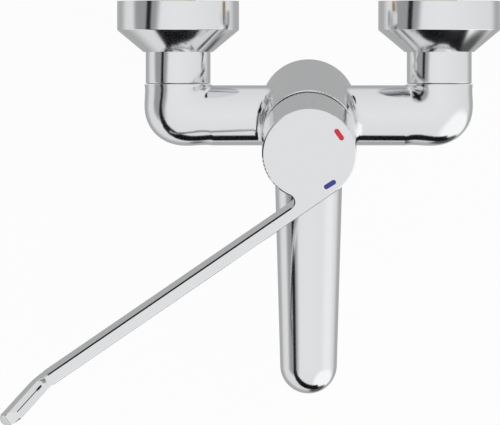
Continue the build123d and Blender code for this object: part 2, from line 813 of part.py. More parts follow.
with BuildPart() as lever:
    with BuildSketch(barrel_plan.offset(hub_bottom)):
        Circle(barrel_radius)
    extrude(amount=hub_height)
    with BuildSketch(lever_plan.offset(hub_top - bar_height)) as bar_root:
        Circle(barrel_radius)
        with Locations((bar_root_length / 2, bar_middle)):
            Rectangle(bar_root_length, bar_width)
        fillet(bar_root.vertices().sort_by_distance(notch)[0], bar_notch_round)
    extrude(amount=bar_height)
    add(lever_end.part)
    top_edges = [
        edge
        for face in lever.faces()
        if face.normal_at().dot(barrel_up) > cos(2 * quarter_turn / 3) and face.center().Z > 0
        for edge in face.edges()
        if edge.geom_type != GeomType.ELLIPSE
        and (edge.center() - tap_centre).dot(lever_out) < tip_start[0]
        and (
            edge.geom_type == GeomType.CIRCLE
            or abs((edge @ 1 - edge @ 0).normalized().dot(lever_across)) < cos(quarter_turn / 3)
        )
    ]
    fillet(top_edges, hub_edge_round)
    fillet(lever.edges().filter_by(GeomType.CIRCLE).sort_by(barrel_axis)[0], rim_round)
    # Bevel along the turned-up end's inner edge
    with BuildSketch(Plane(origin=bevel_start, x_dir=lever_across, z_dir=slope_out)):
        with BuildLine():
            Polyline(
                (bar_bevel_width * (1 + cut_over / bar_bevel_height), cut_over),
                (-cut_over, -bar_bevel_height * (1 + cut_over / bar_bevel_width)),
                (-cut_over, cut_over),
                close=True,
            )
        make_face()
    extrude(amount=bar_rise + bar_height, mode=Mode.SUBTRACT)
    # Hollow of the hub, with the boss that grips the stem
    with BuildSketch(barrel_plan.offset(hub_bottom)):
        Circle(hub_bore)
    extrude(amount=hub_ceiling - hub_bottom, mode=Mode.SUBTRACT)
    with BuildSketch(barrel_plan.offset(boss_bottom)):
        Circle(hub_boss_radius)
    extrude(amount=hub_boss_length)
    with BuildSketch(screw_plan.offset(boss_bottom)):
        Rectangle(stem_square + 2 * fit_gap, stem_square + 2 * fit_gap)
    extrude(amount=stem_top + stem_top_gap - boss_bottom, mode=Mode.SUBTRACT)
    with BuildSketch(screw_line):
        Circle(screw_radius + fit_gap)
    extrude(amount=barrel_radius + cut_over, mode=Mode.SUBTRACT)
    with BuildSketch(screw_line.offset(hub_bore - cut_over)):
        Circle(plug_radius + fit_gap)
    extrude(amount=hub_wall + 2 * cut_over, mode=Mode.SUBTRACT)
    # Pockets for the temperature marks
    with BuildSketch(barrel_plan.offset(hub_top - mark_depth)):
        for place in mark_places.values():
            mark_outline(place, fit_gap)
    extrude(amount=2 * mark_depth, mode=Mode.SUBTRACT)
finish(lever, "lever")

with BuildPart() as lever_set_screw:
    with BuildSketch(screw_line.offset(stem_square / 2 + fit_gap)):
        Circle(screw_radius)
    extrude(amount=screw_length)
    with BuildSketch(screw_line.offset(stem_square / 2 + fit_gap + screw_length)):
        RegularPolygon(screw_socket_radius, 6)
    extrude(amount=-screw_socket_depth, mode=Mode.SUBTRACT)
finish(lever_set_screw, "lever_set_screw")

# Plug over the set screw, its outer face turned with the hub's wall
with BuildPart() as screw_plug:
    with BuildSketch(screw_line.offset(barrel_radius - hub_wall)):
        Circle(plug_radius)
    extrude(amount=2 * hub_wall)
    with BuildSketch(barrel_plan.offset(hub_bottom)):
        Circle(barrel_radius - fit_gap)
    extrude(amount=hub_height, mode=Mode.INTERSECT)
finish(screw_plug, "screw_plug")

for name, place in mark_places.items():
    with BuildPart() as mark:
        with BuildSketch(barrel_plan.offset(hub_top - mark_depth)):
            mark_outline(place, 0)
        extrude(amount=mark_depth)
    finish(mark, name)

# Places along each union, from the elbow's outlet towards the wall
nut_start = seat_y + nut_face_gap
shoulder_end = nut_start + nut_shoulder
collar_end = shoulder_end + nipple_collar_height
washer_end = collar_end + washer_height
nut_end = nut_start + nut_length
nipple_start = socket_bottom + loose_gap
check_start = nipple_start + check_inset
check_bore = nipple_bore - fit_gap - check_wall
mouth_bore = nut_outer_radius + loose_gap
rosette_full_depth = rosette_over_nut - nut_end
rosette_depth = rosette_full_depth - rosette_cone
rosette_web_place = -nut_end - rosette_web_gap
rosette_slope = (rosette_radius - rosette_mouth) / rosette_cone


def rosette_inside(y):
    """Inner radius of the rosette's cone at a distance from the wall."""
    return rosette_radius - rosette_wall - (-y - rosette_depth + rosette_wall / 2) * rosette_slope


for name, hand in hands.items():
    side = inlet_side(hand)
    axis = inlet_axis(hand)

    nipple = turned(
        side,
        axis,
        [
            (nipple_bore, nipple_start),
            (nipple_thread_radius, nipple_start),
            (nipple_thread_radius, ring_floor_y),
            (nipple_neck_radius, ring_floor_y),
            (nipple_neck_radius, shoulder_end),
            (nipple_collar_radius, shoulder_end),
            (nipple_collar_radius, collar_end),
            (nipple_bore, collar_end),
        ],
    )
    finish(nipple, f"nipple_{name}")

    ring_place = (nipple_neck_radius + ring_wire + fit_gap / 2, seat_y - ring_wire)
    nipple_o_ring = rings(side, axis, [ring_place], ring_wire)
    finish(nipple_o_ring, f"nipple_o_ring_{name}")

    with BuildPart() as check_valve:
        check_end = Plane(origin=(axis.position.X, check_start, arm_z), x_dir=(1, 0, 0), z_dir=(0, 1, 0))
        with BuildSketch(check_end):
            Circle(nipple_bore - fit_gap)
            Circle(check_bore, mode=Mode.SUBTRACT)
            Rectangle(2 * check_bore + check_wall, check_web)
            Rectangle(check_web, 2 * check_bore + check_wall)
        extrude(amount=check_length)
        with BuildSketch(side):
            with BuildLine():
                Polyline(
                    (0, check_start),
                    (check_poppet_radius, check_start),
                    (check_poppet_radius, check_start + check_poppet_height),
                    (check_web, check_start + 2 * check_poppet_height),
                    (0, check_start + 2 * check_poppet_height),
                    close=True,
                )
            make_face()
        revolve(axis=axis)
    finish(check_valve, f"check_valve_{name}")

    union_nut = turned(
        side,
        axis,
        [
            (nipple_neck_radius + loose_gap, nut_start),
            (nut_outer_radius - nut_edge, nut_start),
            (nut_outer_radius, nut_start + nut_edge),
            (nut_outer_radius, nut_end - nut_edge),
            (nut_outer_radius - nut_edge, nut_end),
            (union_thread_radius + fit_gap, nut_end),
            (union_thread_radius + fit_gap, shoulder_end),
            (nipple_neck_radius + loose_gap, shoulder_end),
        ],
    )
    finish(union_nut, f"union_nut_{name}")

    union_washer = turned(
        side,
        axis,
        [
            (washer_bore, collar_end),
            (nipple_collar_radius, collar_end),
            (nipple_collar_radius, washer_end),
            (washer_bore, washer_end),
        ],
    )
    finish(union_washer, f"union_washer_{name}")

    # S-union: its wall thread stands above its tap thread by the union's offset
    with BuildPart() as s_union:
        places = [(washer_end, arm_z), (-union_bend_start, arm_z), (-union_bend_end, 0)]
        tap_end, bend_start, bend_end = [
            Plane(origin=(axis.position.X, y, z), x_dir=(1, 0, 0), z_dir=(0, 1, 0)) for y, z in places
        ]
        with BuildSketch(tap_end):
            Circle(union_thread_radius)
        extrude(amount=-union_bend_start - washer_end)
        for plane, radius in ((bend_start, union_thread_radius), (bend_end, wall_thread_radius)):
            with BuildSketch(plane):
                Circle(radius)
        loft()
        with BuildSketch(bend_end):
            RegularPolygon(union_hex_flats / 2, 6, major_radius=False)
        extrude(amount=union_hex_height)
        with BuildSketch(bend_end):
            Circle(wall_thread_radius)
        extrude(amount=union_bend_end + wall_thread_length)
        with BuildSketch(tap_end):
            Circle(union_bore)
        extrude(amount=-union_bend_start - washer_end, mode=Mode.SUBTRACT)
        for plane in (bend_start, bend_end):
            with BuildSketch(plane):
                Circle(union_bore)
        loft(mode=Mode.SUBTRACT)
        with BuildSketch(bend_end):
            Circle(union_bore)
        extrude(amount=union_bend_end + wall_thread_length, mode=Mode.SUBTRACT)
    finish(s_union, f"s_union_{name}")

    with BuildPart() as rosette:
        with BuildSketch(side):
            with BuildLine():
                Polyline(
                    (rosette_radius, 0),
                    (rosette_radius, -rosette_depth),
                    (rosette_mouth, -rosette_full_depth),
                    (mouth_bore, -rosette_full_depth),
                    (mouth_bore, -rosette_full_depth + rosette_wall),
                    (rosette_inside(-rosette_web_place), -rosette_web_place),
                    (union_thread_radius + fit_gap, -rosette_web_place),
                    (union_thread_radius + fit_gap, rosette_web - rosette_web_place),
                    (rosette_inside(rosette_web - rosette_web_place), rosette_web - rosette_web_place),
                    (rosette_radius - rosette_wall, rosette_wall / 2 - rosette_depth),
                    (rosette_radius - rosette_wall, 0),
                    close=True,
                )
            make_face()
        revolve(axis=axis)
        corners = [
            edge
            for edge in rosette.edges().filter_by(GeomType.CIRCLE)
            if abs(edge.radius - rosette_radius) < fit_gap and edge.center().Y < -rosette_wall
        ]
        fillet(corners, rosette_edge)
    finish(rosette, f"rosette_{name}")
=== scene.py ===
"""Looks of an elbow lever tap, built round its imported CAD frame: finishes, turned and cast pieces, studio."""
import json
from math import acos, atan2, cos, pi, radians, sin, sqrt, tan

import bpy
from mathutils import Matrix, Vector


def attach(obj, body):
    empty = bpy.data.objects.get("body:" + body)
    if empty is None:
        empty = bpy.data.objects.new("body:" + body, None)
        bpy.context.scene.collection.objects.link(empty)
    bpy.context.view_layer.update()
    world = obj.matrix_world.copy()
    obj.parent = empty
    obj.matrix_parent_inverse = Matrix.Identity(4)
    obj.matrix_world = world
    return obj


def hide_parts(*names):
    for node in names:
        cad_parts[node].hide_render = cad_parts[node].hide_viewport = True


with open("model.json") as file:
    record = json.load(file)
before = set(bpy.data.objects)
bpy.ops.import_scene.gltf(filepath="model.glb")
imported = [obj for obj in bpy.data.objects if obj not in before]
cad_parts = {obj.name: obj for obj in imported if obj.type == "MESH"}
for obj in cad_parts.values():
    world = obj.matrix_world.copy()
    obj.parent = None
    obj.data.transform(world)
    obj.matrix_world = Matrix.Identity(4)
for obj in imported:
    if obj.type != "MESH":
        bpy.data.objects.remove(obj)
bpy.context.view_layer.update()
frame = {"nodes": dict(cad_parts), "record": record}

bl_info = {
    "name": "Elbow Lever Tap",
    "version": (1, 0, 0),
    "blender": (4, 5, 0),
    "location": "View3D > Sidebar > Tap",
    "description": "Finishes, turned pieces and studio for a wall-mounted elbow lever tap",
    "category": "Object",
}

MM = 0.001
ARM_REACH = 65.7 * MM
UNION_OFFSET = 6.0 * MM
BARREL_LEAN = radians(17.0)
SPOUT_DIP = radians(10.0)
LEVER_ASIDE = radians(54.4)
INLET_HALF = 75.0 * MM

# Places of the turned pieces: each one's own Z runs along its axis
TAP_CENTRE = Matrix.Translation((0, -ARM_REACH, -UNION_OFFSET))
BARREL = TAP_CENTRE @ Matrix.Rotation(BARREL_LEAN, 4, "X")
LEVER = BARREL @ Matrix.Rotation(pi + pi / 2 - LEVER_ASIDE, 4, "Z")
SPOUT_AXIS = TAP_CENTRE @ Matrix.Rotation(pi / 2 + SPOUT_DIP, 4, "X")
SPOUT_REACH = 143.7 * MM
OUTLET_POINT = SPOUT_AXIS @ Vector((0, 0, SPOUT_REACH / cos(SPOUT_DIP)))
OUTLET = Matrix.Translation(OUTLET_POINT) @ Matrix.Rotation(pi, 4, "X")


# Radii of the inlets' threads, of the nuts' threaded bore and of the water way
WALL_THREAD = 0.0104
TAP_THREAD = 0.0132
NUT_BORE = 0.01325
WATER_WAY = 0.0075
# The two inlets, and which way each lies from the middle
HANDS = {"left": -1, "right": 1}
# Steps in a rounded corner of a turned outline
ROUND_STEPS = 4

# Lever, along its own axes: X out along the arm, Z up the barrel
HUB_TOP = 0.0778
HUB_ROUND = 0.0008
# Parts of the rounding's drop between which a vertex counts as lying on it
ON_ROUND = (0.01, 0.97)
LEAST_OUTWARD = 0.1
# Where the arm's edge starts: past this X, or on the side that leaves the hub at a tangent
ARM_START = 0.0265
TANGENT_START = (-0.0005, 0.026)
ARM_SMOOTH = 11
# Inset and drop along the flat bands of the lever's edge, as parts of its rounding
HUB_BANDS = [(1.0, 0.0), (0.1, 0.5), (0.0, 1.0)]
BAR_BANDS = [(1.0, 0.0), (0.3, 0.61), (0.0, 1.0)]
# Turned-up end: where it starts, and the sharp edges that are bevelled there
TIP_START = 0.2
TIP_SHARP = radians(24)
TIP_SHORTEST = 0.0015
TIP_BEVEL = 0.0008

# Temperature marks: distance from the barrel's axis and turn about it in degrees
MARKS = {"hot_mark": (0.0208, 34.7), "cold_mark": (0.0215, -56.4)}
MARK_END = 0.0014
MARK_STRETCH = 0.00245
MARK_THICKNESS = 0.0006
MARK_SINK = 0.0007
MARK_CROWN = ((0.00008, 0.00005), (0.00012, 0.00003), (0.0003, 0.00002), (0.0004, 0.00001))
MARK_SMOOTH = 50

# Studio dome, pale above and grey below: drop from straight up in degrees, level
DOME = [(0, 0.9), (115, 0.8), (135, 0.45), (180, 0.45)]
# One long straight black board: turn, drop and half width of two points on it, all in degrees
BOARD = ((90, 58, 5.0), (180, 100, 13.0))
BOARD_MIDDLE = 115.0
BOARD_HALF = 90.0
BOARD_EDGE = 1.6
BOARD_TONE = (0.006, 0.006, 0.007, 1)
# Soft cards: turn, drop, half widths in both, level
CARDS = [
    (75, 65, 60, 30, 0.35),
    (225, 95, 35, 45, 1.1),
    (200, 130, 20, 20, 0.1),
    (55, 65, 15, 25, 0.01),
    (340, 80, 15, 15, 0.01),
]
CARD_EDGE = (0.45, 1.25)
# Lamps: place, aim, size and power in watts
LAMPS = {
    "key_lamp": ((0.35, -0.2, 0.9), (0, -0.12, 0), (0.25, 0.9), 3.0),
    "fill_lamp": ((-0.9, -0.6, 0.7), (0, -0.12, 0), (0.6, 0.6), 3.0),
}
FLOOR_SIZE = 3.2
FLOOR_WHITE = 0.9


def union_place(hand):
    """The place of one inlet's pieces: Z away from the wall, Y up."""
    return Matrix.Translation((hand * INLET_HALF, 0, -UNION_OFFSET)) @ Matrix.Rotation(pi / 2, 4, "X")


class TapSizes(bpy.types.PropertyGroup):
    """Sizes of the finer forms that the scene adds to the CAD pieces."""

    rosette_edge: bpy.props.FloatProperty(
        name="Rosette edge", description="Round of the rosettes' outer corner", default=0.0007, unit="LENGTH"
    )
    nut_edge: bpy.props.FloatProperty(
        name="Nut edge", description="Round of the union nuts' corners", default=0.0008, unit="LENGTH"
    )
    thread_pitch: bpy.props.FloatProperty(
        name="Thread pitch", description="Distance between the wall thread's turns", default=0.0018, unit="LENGTH"
    )


class TapColours(bpy.types.PropertyGroup):
    """Colours of the tap's finishes."""

    chrome: bpy.props.FloatVectorProperty(
        name="Chrome", description="Polished chrome plating", default=(0.87, 0.88, 0.872), subtype="COLOR"
    )
    brass: bpy.props.FloatVectorProperty(
        name="Brass", description="Bare machined brass", default=(0.72, 0.5, 0.22), subtype="COLOR"
    )
    steel: bpy.props.FloatVectorProperty(
        name="Steel", description="Stainless steel of screws and pins", default=(0.6, 0.6, 0.59), subtype="COLOR"
    )
    ceramic: bpy.props.FloatVectorProperty(
        name="Ceramic", description="Alumina discs", default=(0.82, 0.8, 0.76), subtype="COLOR"
    )
    hot: bpy.props.FloatVectorProperty(
        name="Hot mark", description="Red enamel", default=(0.2, 0.003, 0.01), subtype="COLOR"
    )
    cold: bpy.props.FloatVectorProperty(
        name="Cold mark", description="Blue enamel", default=(0.01, 0.014, 0.1), subtype="COLOR"
    )


class StudioSettings(bpy.types.PropertyGroup):
    """The studio round the tap."""

    lens: bpy.props.FloatProperty(
        name="Lens", description="Camera lens in millimetres", default=1200.0, unit="CAMERA"
    )
    view_width: bpy.props.FloatProperty(
        name="View width", description="Width that the camera sees at the arms", default=0.2872, unit="LENGTH"
    )
    view_centre: bpy.props.FloatVectorProperty(
        name="View centre", description="Point that the camera looks at", default=(-0.0337, -0.1215, -0.006),
        subtype="TRANSLATION",
    )
    floor_drop: bpy.props.FloatProperty(
        name="Floor drop", description="Height of the tap's axis above the floor", default=0.33, unit="LENGTH"
    )


class Value:
    """A node's output that takes Python's operators; each one adds its Math node."""

    def __init__(self, nodes, socket):
        self.nodes = nodes
        self.socket = socket

    def math(self, operation, *others):
        return self.nodes.add("ShaderNodeMath", {"operation": operation}, dict(enumerate((self, *others))))

    def __add__(self, other):
        return self.math("ADD", other)

    def __mul__(self, other):
        return self.math("MULTIPLY", other)

    def __sub__(self, other):
        return self.math("SUBTRACT", other)

    __radd__ = __add__


class Nodes:
    """The nodes of one material or world."""

    def __init__(self, tree):
        self.tree = tree
        tree.nodes.clear()

    def add(self, kind, settings=(), sockets=(), output=0):
        """A node with its settings, a ramp's stops among them, then its sockets' values or links."""
        node = self.tree.nodes.new(kind)
        for key, value in dict(settings).items():
            if key == "stops":
                elements = node.color_ramp.elements
                while len(elements) < len(value):
                    elements.new(1.0)
                for element, (position, colour) in zip(elements, value):
                    element.position = position
                    element.color = (*colour, 1) if isinstance(colour, tuple) else (colour, colour, colour, 1)
            else:
                setattr(node, key, value)
        for key, value in dict(sockets).items():
            if isinstance(value, Value):
                self.tree.links.new(value.socket, node.inputs[key])
            else:
                node.inputs[key].default_value = value
        return Value(self, node.outputs[output]) if node.outputs else node

    def object_place(self, stretch):
        """Object coordinates, stretched."""
        place = self.add("ShaderNodeTexCoord", output="Object")
        return self.add("ShaderNodeMapping", {}, {"Vector": place, "Scale": stretch})

    def noise(self, scale, detail, stretch=(1, 1, 1), roughness=0.5):
        """Noise in object coordinates."""
        sockets = {"Vector": self.object_place(stretch), "Scale": scale, "Detail": detail, "Roughness": roughness}
        return self.add("ShaderNodeTexNoise", {}, sockets)

    def between(self, value, low, high):
        """0 below one level of a value, 1 above another, smooth between them."""
        settings = {"interpolation_type": "SMOOTHSTEP"}
        return self.add("ShaderNodeMapRange", settings, {"Value": value, "From Min": low, "From Max": high})

    def mix(self, factor, first, second):
        """A mix of two colours."""
        return self.add("ShaderNodeMix", {"data_type": "RGBA"}, {0: factor, 6: first, 7: second}, output=2)

    def bump(self, height, distance):
        """A normal from a height, whose full step is a distance in metres."""
        return self.add("ShaderNodeBump", {}, {"Height": height, "Distance": distance, "Strength": 1.0})


def shade(colour, level):
    """A colour made lighter or darker, with its alpha."""
    return (*[min(part * level, 1.0) for part in colour], 1.0)


def finish(name, sockets, make):
    """A material of one Principled shader; make gives the sockets that vary over the surface."""
    material = bpy.data.materials.new(name)
    material.use_nodes = True
    nodes = Nodes(material.node_tree)
    shader = nodes.add("ShaderNodeBsdfPrincipled", {}, {**sockets, **make(nodes)})
    nodes.add("ShaderNodeOutputMaterial", {}, {"Surface": shader})


def chrome_detail(colour):
    """Plating: a film of dried water, soft wiping marks, hairlines and a slow waviness from polishing."""
    def make(nodes):
        film = nodes.between(nodes.noise(38, 4, roughness=0.6), 0.42, 0.72)
        wipes = nodes.between(nodes.noise(16, 3, (1, 6, 2)), 0.5, 0.7)
        hairs = nodes.between(nodes.noise(260, 2, (1, 22, 9)), 0.66, 0.74)
        specks = nodes.between(nodes.noise(900, 1), 0.74, 0.8)
        tone = nodes.mix(film * 0.55 + specks * 0.3, shade(colour, 1.0), shade(colour, 0.93))
        waves = nodes.noise(70, 2)
        height = waves * 0.14 + hairs * -0.03 + specks * 0.04
        return {
            "Base Color": tone,
            "Roughness": 0.012 + film * 0.014 + wipes * 0.012 + hairs * 0.02,
            "Normal": nodes.bump(height, 0.00001),
        }
    return make


def turned_detail(colour, grain):
    """Machined metal: fine turning lines, duller patches and small pits."""
    def make(nodes):
        lines = nodes.noise(grain, 3, (1, 1, 26))
        patches = nodes.between(nodes.noise(120, 3), 0.35, 0.7)
        pits = nodes.between(nodes.noise(1500, 1), 0.72, 0.8)
        return {
            "Base Color": nodes.mix(patches * 0.7 + pits * 0.3, shade(colour, 1.08), shade(colour, 0.72)),
            "Roughness": 0.2 + patches * 0.16 + lines * 0.12,
            "Normal": nodes.bump(lines - pits * 0.6, 0.00004),
        }
    return make


def moulded_detail(colour, gloss):
    """Moulded plastic, rubber or ceramic: fine grain, faint flow marks and a few pores."""
    def make(nodes):
        fine = nodes.noise(1400, 2)
        flow = nodes.noise(60, 4, (1, 3, 1))
        pores = nodes.between(nodes.noise(840, 1), 0.7, 0.78)
        return {
            "Base Color": nodes.mix(flow * 0.6 + pores * 0.4, shade(colour, 1.12), shade(colour, 0.78)),
            "Roughness": gloss + flow * 0.14 + pores * 0.1,
            "Normal": nodes.bump(fine - pores, 0.00003),
        }
    return make


def enamel_detail(colour):
    """Enamel: a slightly uneven pigment under a clear coat."""
    def make(nodes):
        cloud = nodes.noise(900, 3)
        return {
            "Base Color": nodes.mix(cloud, shade(colour, 0.9), shade(colour, 1.12)),
            "Roughness": 0.25 + cloud * 0.12,
            "Normal": nodes.bump(nodes.noise(1600, 1), 0.000012),
        }
    return make


class TAP_OT_finishes(bpy.types.Operator):
    """Make the tap's finishes and give every CAD piece the one of its slot"""

    bl_idname = "tap.finishes"
    bl_label = "Finishes"

    def execute(self, context):
        colours = context.scene.tap_colours
        metal = {"Metallic": 1.0}
        plastics = {
            "ceramic": (colours.ceramic, 0.16),
            "cartridge_plastic": ((0.62, 0.63, 0.64), 0.34),
            "limiter_plastic": ((0.62, 0.06, 0.03), 0.36),
            "insert_plastic": ((0.72, 0.73, 0.74), 0.4),
            "seal_rubber": ((0.022, 0.022, 0.024), 0.56),
        }
        finish("chromed_brass", metal, chrome_detail(colours.chrome))
        finish("bare_brass", metal, turned_detail(colours.brass, 260))
        finish("steel", metal, turned_detail(colours.steel, 320))
        for name, (colour, gloss) in plastics.items():
            finish(name, {}, moulded_detail(colour, gloss))
        coat = {"Coat Weight": 0.3, "Coat Roughness": 0.06}
        finish("hot_red", coat, enamel_detail(colours.hot))
        finish("cold_blue", coat, enamel_detail(colours.cold))
        for name, node in frame["nodes"].items():
            node.material_slots[0].material = bpy.data.materials[slot_finish(name)]
        return {"FINISHED"}


def slot_finish(name):
    """The slot of a CAD node, whose name its finish also has."""
    return next(part["material_slot"] for part in frame["record"]["subparts"] if part["node"] == name)


def rounded(outline, rounds):
    """A closed outline of (radius, height) points whose corners have the given rounds."""
    result = []
    for i, (point, size) in enumerate(zip(outline, rounds)):
        corner = Vector(point)
        if not size:
            result.append(corner)
            continue
        before = (Vector(outline[i - 1]) - corner).normalized()
        after = (Vector(outline[(i + 1) % len(outline)]) - corner).normalized()
        half = before.angle(after) / 2
        middle = corner + (before + after).normalized() * (size / sin(half))
        start = corner + before * (size / tan(half)) - middle
        end = corner + after * (size / tan(half)) - middle
        result += [middle + start.slerp(end, step / ROUND_STEPS) * size for step in range(ROUND_STEPS + 1)]
    return result


def spaced(start, end, step):
    """Points along one side of an outline, no further apart than a step."""
    count = max(1, round((Vector(end) - Vector(start)).length / step))
    return [tuple(Vector(start).lerp(Vector(end), i / count)) for i in range(count)]


def turn_piece(name, outline, sides):
    """A ring turned about Z from a closed outline of (radius, height) points, by extruding loop after loop."""
    bpy.ops.object.select_all(action="DESELECT")
    radius, height = outline[0]
    bpy.ops.mesh.primitive_circle_add(vertices=sides, radius=radius, location=(0, 0, height))
    piece = bpy.context.object
    piece.name = name
    bpy.ops.object.mode_set(mode="EDIT")
    bpy.ops.mesh.select_all(action="SELECT")
    for point in [*outline[1:], outline[0]]:
        bpy.ops.mesh.extrude_edges_move(TRANSFORM_OT_translate={"value": (0, 0, point[1] - height)})
        size = point[0] / radius
        bpy.ops.transform.resize(value=(size, size, 1), center_override=(0, 0, point[1]))
        radius, height = point
    bpy.ops.mesh.select_all(action="SELECT")
    bpy.ops.mesh.remove_doubles(threshold=0.000001)
    bpy.ops.mesh.normals_make_consistent(inside=False)
    bpy.ops.object.mode_set(mode="OBJECT")
    bpy.ops.object.transform_apply(location=True, rotation=True, scale=True)
    return piece


def cut_thread(piece, low, high, pitch, depth, surface, side=-1):
    """Cut a helical thread into a turned surface between two heights: side is -1 inwards, 1 outwards."""
    for vertex in piece.data.vertices:
        x, y, z = vertex.co
        radius = sqrt(x * x + y * y)
        if low < z < high and abs(radius - surface) < depth:
            phase = (z / pitch - atan2(y, x) / (2 * pi)) % 1
            fade = min(1, (z - low) / pitch, (high - z) / pitch)
            size = 1 + side * fade * depth * abs(2 * phase - 1) / radius
            vertex.co = (x * size, y * size, z)


def cut_hexagon(piece, low, high, flat, reach):
    """Cut a wrench hexagon into what stands out past a reach, between two heights."""
    for vertex in piece.data.vertices:
        x, y, z = vertex.co
        radius = sqrt(x * x + y * y)
        if low < z < high and radius > reach:
            turn = (atan2(y, x) + pi / 6) % (pi / 3) - pi / 6
            size = min(1, flat / cos(turn) / radius)
            vertex.co = (x * size, y * size, z)


def cut_flutes(piece, low, high, count, depth, crest):
    """Cut upright flutes into the crest surface of a turned piece, between two heights."""
    for vertex in piece.data.vertices:
        x, y, z = vertex.co
        radius = sqrt(x * x + y * y)
        if low < z < high and radius > crest - depth:
            size = 1 - depth * (0.5 - 0.5 * cos(atan2(y, x) * count)) / radius
            vertex.co = (x * size, y * size, z)


def fit(piece, place, node, smooth=30):
    """Put a finished piece in its place and let it stand for its CAD node."""
    bpy.ops.object.select_all(action="DESELECT")
    piece.select_set(True)
    bpy.context.view_layer.objects.active = piece
    piece.matrix_world = place
    bpy.ops.object.transform_apply(location=True, rotation=True, scale=True)
    bpy.ops.object.shade_smooth_by_angle(angle=radians(smooth))
    slot = slot_finish(node)
    piece.data.materials.clear()
    piece.data.materials.append(bpy.data.materials[slot])
    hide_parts(node)
    body = next(name for name, nodes in frame["record"]["behaviour"]["bodies"].items() if node in nodes)
    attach(piece, body)


def fit_pair(piece, node):
    """Put a finished piece at the left inlet, and a copy with a mesh of its own at the right one."""
    name = piece.name
    twin = piece.copy()
    twin.data = piece.data.copy()
    bpy.context.collection.objects.link(twin)
    for one, (hand, side) in zip((piece, twin), HANDS.items()):
        one.name = f"{name}_{hand}"
        fit(one, union_place(side), f"{node}_{hand}")


class TAP_OT_rosettes(bpy.types.Operator):
    """Turn the two rosettes: a shell with a softened rim, a cone and a web inside"""

    bl_idname = "tap.rosettes"
    bl_label = "Rosettes"

    def execute(self, context):
        edge = context.scene.tap_sizes.rosette_edge
        # Up the outside to the mouth, then down inside past the web
        outline = [
            (0.035, 0.0), (0.035, 0.0167), (0.0199, 0.0293), (0.0189, 0.0293), (0.0189, 0.0281),
            (0.02385, 0.0244), (NUT_BORE, 0.0244), (NUT_BORE, 0.0208), (0.02817, 0.0208),
            (0.0338, 0.0161), (0.0338, 0.0),
        ]
        rounds = [edge / 3, edge, edge / 4, edge / 3, 0, edge, edge / 3, edge / 3, edge, edge, edge / 3]
        fit_pair(turn_piece("turned_rosette", rounded(outline, rounds), 160), "rosette")
        return {"FINISHED"}


class TAP_OT_union_nuts(bpy.types.Operator):
    """Turn the two round union nuts, threaded inside"""

    bl_idname = "tap.union_nuts"
    bl_label = "Union Nuts"

    def execute(self, context):
        sizes = context.scene.tap_sizes
        edge = sizes.nut_edge
        bore = [(0.0140, 0.02685), *spaced((NUT_BORE, 0.0276), (NUT_BORE, 0.04405), sizes.thread_pitch / 6)]
        # The last corner is only there for the one before it to round towards
        corners = [
            (NUT_BORE, 0.04405), (WALL_THREAD, 0.04405), (WALL_THREAD, 0.04765), (0.0186, 0.04765),
            (0.0186, 0.02685), bore[0],
        ]
        nut = turn_piece("turned_nut", [*bore, *rounded(corners, [0, 0, 0.0003, edge, edge, 0])[:-1]], 128)
        cut_thread(nut, 0.0276, 0.0435, sizes.thread_pitch, 0.0006, NUT_BORE, side=1)
        fit_pair(nut, "union_nut")
        return {"FINISHED"}


class TAP_OT_s_unions(bpy.types.Operator):
    """Turn the two S-unions: tap thread, bend, wrench hexagon and wall thread"""

    bl_idname = "tap.s_unions"
    bl_label = "S-Unions"

    def execute(self, context):
        pitch = context.scene.tap_sizes.thread_pitch
        step = pitch / 6
        # Up the outside from the wall end: wall thread, collar, neck, tap thread; then down the water way
        outline = [
            *spaced((WALL_THREAD, -0.0167), (WALL_THREAD, 0.0035), step),
            (WALL_THREAD, 0.0035), (0.0130, 0.004), (0.0138, 0.0046), (0.0138, 0.0084), (0.0130, 0.009),
            (WALL_THREAD, 0.009), (0.01125, 0.0112), (0.0122, 0.0137), (0.0129, 0.0158), (TAP_THREAD, 0.0172),
            *spaced((TAP_THREAD, 0.0185), (TAP_THREAD, 0.0388), step),
            (TAP_THREAD, 0.0388), (0.0128, 0.03925), (0.0078, 0.03925),
            *((WATER_WAY, height) for height in (0.0389, 0.0165, 0.014, 0.0115, 0.009, -0.0167)),
            (0.0078, -0.017), (0.0100, -0.017),
        ]
        union = turn_piece("turned_union", outline, 96)
        cut_thread(union, -0.0165, 0.0034, pitch, 0.0009, WALL_THREAD)
        cut_thread(union, 0.0184, 0.0389, pitch, 0.0008, TAP_THREAD)
        cut_hexagon(union, 0.0039, 0.0091, 0.012, 0.0125)
        # The bend that sets the wall end off from the tap end
        for vertex in union.data.vertices:
            vertex.co.y += UNION_OFFSET * min(1, max(0, (0.0165 - vertex.co.z) / 0.0075))
        fit_pair(union, "s_union")
        return {"FINISHED"}


